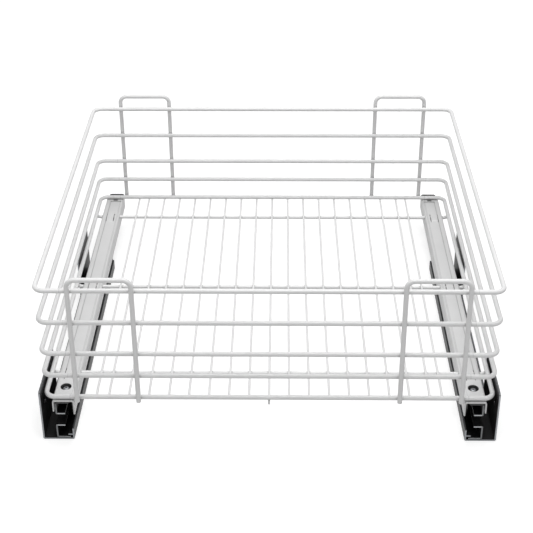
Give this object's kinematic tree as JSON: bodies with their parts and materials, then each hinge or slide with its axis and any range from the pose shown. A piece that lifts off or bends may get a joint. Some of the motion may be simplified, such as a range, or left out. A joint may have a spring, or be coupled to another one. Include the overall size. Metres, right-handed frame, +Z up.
{
  "type": "pull out cabinet basket",
  "caption": "White welded wire basket with raised end loops on full-extension ball runners in dark trays that screw to the cabinet sides; slides forward.",
  "frame": {"origin": "bottom centre of the bounding box, on the underside of the runner trays, with the basket pushed in", "axes": "+X to the right across the cabinet, +Y to the rear of the cabinet, +Z up; the front that is pulled faces -Y"},
  "size_m": [0.564, 0.533, 0.2385],
  "materials": {
    "coated_wire": "satin white powder coat over steel wire",
    "coated_sheet": "satin white powder coat over pressed steel sheet",
    "runner_sheet": "dark electro-coated steel sheet with bright cut edges",
    "zinc_steel": "bright zinc plate",
    "ball_steel": "polished bearing steel",
    "buffer_rubber": "matte moulded rubber",
    "plug_plastic": "fine-grained moulded plastic"
  },
  "bodies": {
    "cabinet_side": {"left_tray": "runner_sheet", "left_cabinet_profile": "runner_sheet", "left_rivets": "zinc_steel", "left_rear_buffer": "buffer_rubber", "right_tray": "runner_sheet", "right_cabinet_profile": "runner_sheet", "right_rivets": "zinc_steel", "right_rear_buffer": "buffer_rubber"},
    "basket": {"ring_1": "coated_wire", "ring_2": "coated_wire", "ring_3": "coated_wire", "ring_4": "coated_wire", "ring_5": "coated_wire", "floor_wires": "coated_wire", "front_cross_wire": "coated_wire", "middle_cross_wire": "coated_wire", "rear_cross_wire": "coated_wire", "left_front_loop": "coated_wire", "left_rear_loop": "coated_wire", "left_side_channel": "coated_sheet", "left_channel_plug": "plug_plastic", "left_drawer_profile": "runner_sheet", "left_front_screw": "zinc_steel", "right_front_loop": "coated_wire", "right_rear_loop": "coated_wire", "right_side_channel": "coated_sheet", "right_channel_plug": "plug_plastic", "right_drawer_profile": "runner_sheet", "right_front_screw": "zinc_steel"},
    "left_middle": {"left_middle_profile": "runner_sheet"},
    "left_lower_carriage": {"left_lower_cage": "zinc_steel", "left_lower_balls": "ball_steel"},
    "left_upper_carriage": {"left_upper_cage": "zinc_steel", "left_upper_balls": "ball_steel"},
    "right_middle": {"right_middle_profile": "runner_sheet"},
    "right_lower_carriage": {"right_lower_cage": "zinc_steel", "right_lower_balls": "ball_steel"},
    "right_upper_carriage": {"right_upper_cage": "zinc_steel", "right_upper_balls": "ball_steel"}
  },
  "joints": [
    {"name": "basket_slide", "type": "slide", "parent": "cabinet_side", "child": "basket", "axis": [0, -1, 0], "range_m": [0, 0.4]},
    {"name": "left_middle_slide", "type": "slide", "parent": "cabinet_side", "child": "left_middle", "axis": [0, -1, 0], "range_m": [0, 0.2]},
    {"name": "left_lower_carriage_slide", "type": "slide", "parent": "cabinet_side", "child": "left_lower_carriage", "axis": [0, -1, 0], "range_m": [0, 0.1]},
    {"name": "left_upper_carriage_slide", "type": "slide", "parent": "cabinet_side", "child": "left_upper_carriage", "axis": [0, -1, 0], "range_m": [0, 0.3]},
    {"name": "right_middle_slide", "type": "slide", "parent": "cabinet_side", "child": "right_middle", "axis": [0, -1, 0], "range_m": [0, 0.2]},
    {"name": "right_lower_carriage_slide", "type": "slide", "parent": "cabinet_side", "child": "right_lower_carriage", "axis": [0, -1, 0], "range_m": [0, 0.1]},
    {"name": "right_upper_carriage_slide", "type": "slide", "parent": "cabinet_side", "child": "right_upper_carriage", "axis": [0, -1, 0], "range_m": [0, 0.3]}
  ],
  "couplings": [
    {"joint": "left_middle_slide", "follows": "basket_slide", "ratio": 0.5},
    {"joint": "left_lower_carriage_slide", "follows": "basket_slide", "ratio": 0.25},
    {"joint": "left_upper_carriage_slide", "follows": "basket_slide", "ratio": 0.75},
    {"joint": "right_middle_slide", "follows": "basket_slide", "ratio": 0.5},
    {"joint": "right_lower_carriage_slide", "follows": "basket_slide", "ratio": 0.25},
    {"joint": "right_upper_carriage_slide", "follows": "basket_slide", "ratio": 0.75}
  ]
}
